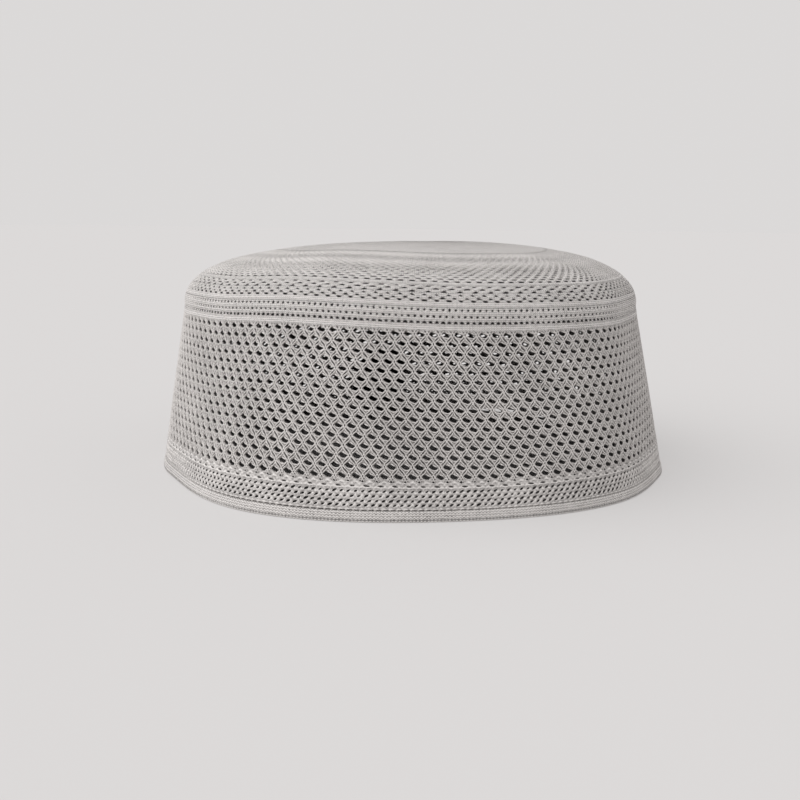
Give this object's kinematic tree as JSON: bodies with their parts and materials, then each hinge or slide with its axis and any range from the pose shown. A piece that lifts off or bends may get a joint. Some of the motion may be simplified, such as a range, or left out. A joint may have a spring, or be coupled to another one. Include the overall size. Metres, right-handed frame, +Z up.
{
  "type": "prayer cap",
  "caption": "Round knitted prayer cap with an open net side wall, a close knit domed crown, a doubled hem and a plain tag inside; it is worn on the head and stands on its rim.",
  "frame": {"origin": "middle of the rim's outline on the surface that the cap stands on", "axes": "+Z up out of the crown, -Y towards the front of the cap as pictured, +X to the right seen from the front"},
  "size_m": [0.1776, 0.1871, 0.078],
  "materials": {
    "close_knit": "fine close knit of plied yarn, matt with a faint sheen",
    "net_knit": "open net of plied yarn, matt with a faint sheen",
    "hem_knit": "doubled close knit, matt",
    "tag_cloth": "plain woven ribbon, satin"
  },
  "bodies": {
    "root": {"crown": "close_knit", "side_wall": "net_knit", "hem": "hem_knit", "label": "tag_cloth"}
  },
  "joints": []
}
